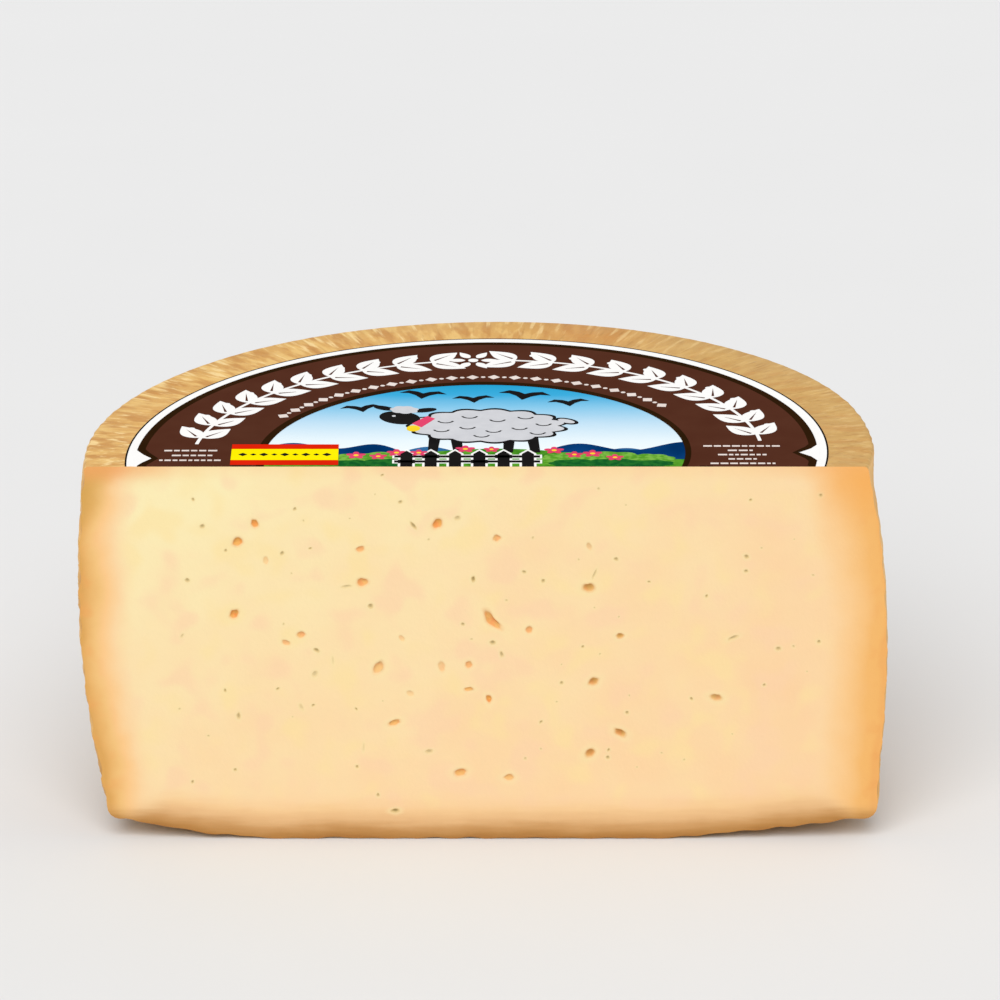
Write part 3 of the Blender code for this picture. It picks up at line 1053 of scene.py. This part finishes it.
for x, over_meadow, size in (
    (-30, 0.4, 1.0), (-24.5, -1.0, 0.9), (-20, 0.9, 1.0), (-14.5, -0.2, 0.9),
    (-3, 0.3, 1.0), (3.5, -0.6, 0.8), (19, 0.6, 1.0), (24, -1.2, 0.9),
    (28.5, 0.8, 1.0), (34, -0.6, 0.9),
):
    y = skyline(x, *meadow_shape) + over_meadow
    for petal in range(5):
        turn = 72 * petal + 18
        across = x + petal_reach * size * math.cos(math.radians(turn))
        up = y + petal_reach * size * math.sin(math.radians(turn))
        petals.append(moved(ellipse(2.4, 1.6, 14), across, up, size, turn))
    flower_hearts.append(moved(ellipse(1.3, 1.3, 12), x, y, size))
plates("flower_petals", petals, 14, flower_ink)
plates("flower_hearts", flower_hearts, 15, gold_ink)
wing = [(0, 2.2), (1.6, 3.6), (4.2, 4.4), (6.6, 2.2), (4.0, 2.2), (1.9, 0.6), (0, -2.2)]
swallow = wing + [(-x, y) for x, y in reversed(wing[1:-1])]
flock = [
    (-29, 33.0, 0.8, 10),
    (-14, 43.2, 0.9, -6),
    (-1, 40.0, 0.8, 4),
    (11.5, 42.6, 1.0, -9),
    (23, 37.4, 0.8, 6),
]
plates("swallows", [moved(swallow, *bird) for bird in flock], 12, black_ink)
picket = [(-1.5, -9), (1.5, -9), (1.5, 0.2), (0, 2.6), (-1.5, 0.2)]
picket_border = [(-2.1, -10), (2.1, -10), (2.1, 0.5), (0, 3.8), (-2.1, 0.5)]
picket_places = (-17.5, -11.5, -5.5, 0.5, 6.5, 12.5)
fence = [moved(picket, x, 0) for x in picket_places]
fence_border = [moved(picket_border, x, 0) for x in picket_places]
for y in (-5.2, -1.6):
    fence.append([(-20.5, y - 0.8), (15.5, y - 0.8), (15.5, y + 0.8), (-20.5, y + 0.8)])
    fence_border.append([(-21, y - 1.3), (16, y - 1.3), (16, y + 1.3), (-21, y + 1.3)])
plates("fence_border", fence_border, 13, white_paper)
plates("fence", fence, 15, black_ink)

# The label's ring
# A broad brown ring with near-black edges and a white notch at each side, printed round the
# picture. A white garland of leaves goes along it, with a fine row of beads inside and short
# rows of dashes by the notches.
brown_ink = ink("brown_ink", (80, 43, 30), (87, 50, 36))
dark_ink = ink("dark_ink", (40, 25, 8), (52, 30, 14))
cream_ink = ink("cream_ink", (226, 212, 204), (240, 230, 224))
window_edge = moved(arc(52.1, 195, -15, 140), -0.7, -0.4)
window = [moved(arc(outer, -15, 195, 140), -0.9, 0) + window_edge for outer in (60.0, 53.8)]
ring_shift = -0.15
outer_band = moved(ring_shape(84.3, 82.3), ring_shift, 0)
plates("brown_ring", [moved(ring_shape(83.0, 56.0), ring_shift, 0), window[0]], 16, brown_ink)
plates("dark_bands", [outer_band, window[1]], 18, dark_ink)
notches, notch_borders = [], []
for middle, tip in ((182.2, 80.4), (0.9, 79.6)):
    notch = [(84.9, -4.6), (82.6, -2.0), (tip, 0), (82.6, 2.0), (84.9, 4.6)]
    border = [(83.4, -6.0), (81.2, -3.0), (tip - 1.7, 0), (81.2, 3.0), (83.4, 6.0)]
    notches.append([polar(radius, middle + turn) for radius, turn in notch])
    notch_borders.append([polar(radius, middle + turn) for radius, turn in border])
plates("notch_borders", notch_borders, 19, dark_ink)
plates("notches", notches, 20, white_paper)


def leaf(length, width):
    """A pointed leaf from its foot at the middle out to its tip."""
    upper = []
    for step in range(15):
        share = step / 14
        upper.append((length * share, width / 2 * math.sin(math.pi * share**0.75)))
    return upper + [(x, -y) for x, y in reversed(upper[1:-1])]


stem_radius = 70.4
stem_half = 0.45
leaf_pairs = 10
leaf_turn = 36
berry_radii = (66.2, 74.6)
berry_size = 1.8
stems, leaves, veins, berries = [], [], [], []
for side, first, last in ((1, 171, 100.5), (-1, 11, 81.5)):
    for pair in range(leaf_pairs):
        degrees = first + (last - first) * pair / (leaf_pairs - 1)
        ahead = degrees - 90 * side
        for bend in (leaf_turn, -leaf_turn):
            foot = [(0.9, math.copysign(0.55, bend))]
            foot = moved(foot, *polar(stem_radius, degrees), 1, ahead)[0]
            leaves.append(moved(leaf(9.6, 5.6), *foot, 1, ahead + bend))
            veins.append(moved([(1.2, -0.35), (7.2, 0), (1.2, 0.35)], *foot, 1, ahead + bend))
        if pair < leaf_pairs - 1:
            berry = ellipse(berry_size, berry_size, 16)
            for radius in berry_radii:
                berries.append(moved(berry, *polar(radius, degrees - 5.6 * side)))
    foot_end, tip_end = first + 3 * side, last - 4.5 * side
    outer_edge = arc(stem_radius + stem_half, foot_end, tip_end)
    stems.append(outer_edge + arc(stem_radius - stem_half, tip_end, foot_end))
middle_x, middle_y = polar(stem_radius, 91)
rosette = []
for petal in range(6):
    foot = moved([(2.0, 0)], middle_x, middle_y, 1, 60 * petal)[0]
    rosette.append(moved(leaf(5.0, 2.4), *foot, 1, 60 * petal))
rosette.append(moved(ellipse(2.6, 2.6, 20), middle_x, middle_y))
plates("garland_stems", stems, 19, white_paper)
plates("garland_leaves", leaves, 20, white_paper)
plates("leaf_veins", veins, 21, brown_ink)
plates("garland_rosette", rosette, 21, white_paper)
plates("garland_berries", berries, 21, white_paper)
beads = []
bead_count = 43
bead_radius = 57.4
round_bead = ellipse(1.2, 1.2, 12)
long_bead = [(-1.6, 0), (0, -1.6), (1.6, 0), (0, 1.6)]
for bead in range(bead_count):
    degrees = 150 - 112 * bead / (bead_count - 1)
    shape = round_bead if bead % 2 else long_bead
    beads.append(moved(shape, *polar(bead_radius, degrees), 1, degrees - 90))
plates("beads", beads, 19, cream_ink)
left_lines = ((-70.5, 2.6, 14), (-70.5, -0.9, 10), (-70.5, -4.4, 16))
right_lines = ((65.5, 6.0, 19), (65.5, 2.8, 7), (65.5, -0.3, 12), (65.5, -3.4, 7), (65.5, -6.6, 16))
dash_gap = 0.45
least_dash = 0.6
dashes = []
for x, y, width in left_lines + right_lines:
    at, end = x - width / 2, x + width / 2
    front, back = y - 0.5, y + 0.5
    while at < end - least_dash:
        dash = min(chance.uniform(0.7, 2.4), end - at)
        dashes.append([(at, front), (at + dash, front), (at + dash, back), (at, back)])
        at += dash + dash_gap
plates("fine_dashes", dashes, 19, cream_ink)

# The sticker
# A small sticker in three stripes, red, yellow and red, with a row of dark lozenges, stuck over
# the ring and the picture's edge after the label was printed.
red_ink = ink("red_ink", (217, 32, 8), (226, 38, 14))
yellow_ink = ink("yellow_ink", (252, 234, 0), (255, 240, 10))
left, right, front, back = -60.8, -34.4, -7.7, 7.1
stripe_share = 0.23
stripe = (back - front) * stripe_share
sticker = [(left - 0.15, front), (right + 0.1, front), (right, back), (left, back)]
yellow_front, yellow_back = front + stripe, back - stripe
yellow_band = [
    (left - 0.12, yellow_front),
    (right + 0.05, yellow_front),
    (right, yellow_back),
    (left - 0.03, yellow_back),
]
lozenges = []
lozenge_count = 9
lozenge = [(-0.9, 0), (0, -0.9), (0.9, 0), (0, 0.9)]
lozenge_margin = 2.8
for step in range(lozenge_count):
    x = left + lozenge_margin + (right - left - 2 * lozenge_margin) * step / (lozenge_count - 1)
    size = 0.9 if step % 2 else 1.3
    lozenges.append(moved(lozenge, x, (front + back) / 2, size))
plates("sticker", [sticker], 22, red_ink)
plates("sticker_band", [yellow_band], 23, yellow_ink)
plates("sticker_lozenges", lozenges, 24, black_ink)
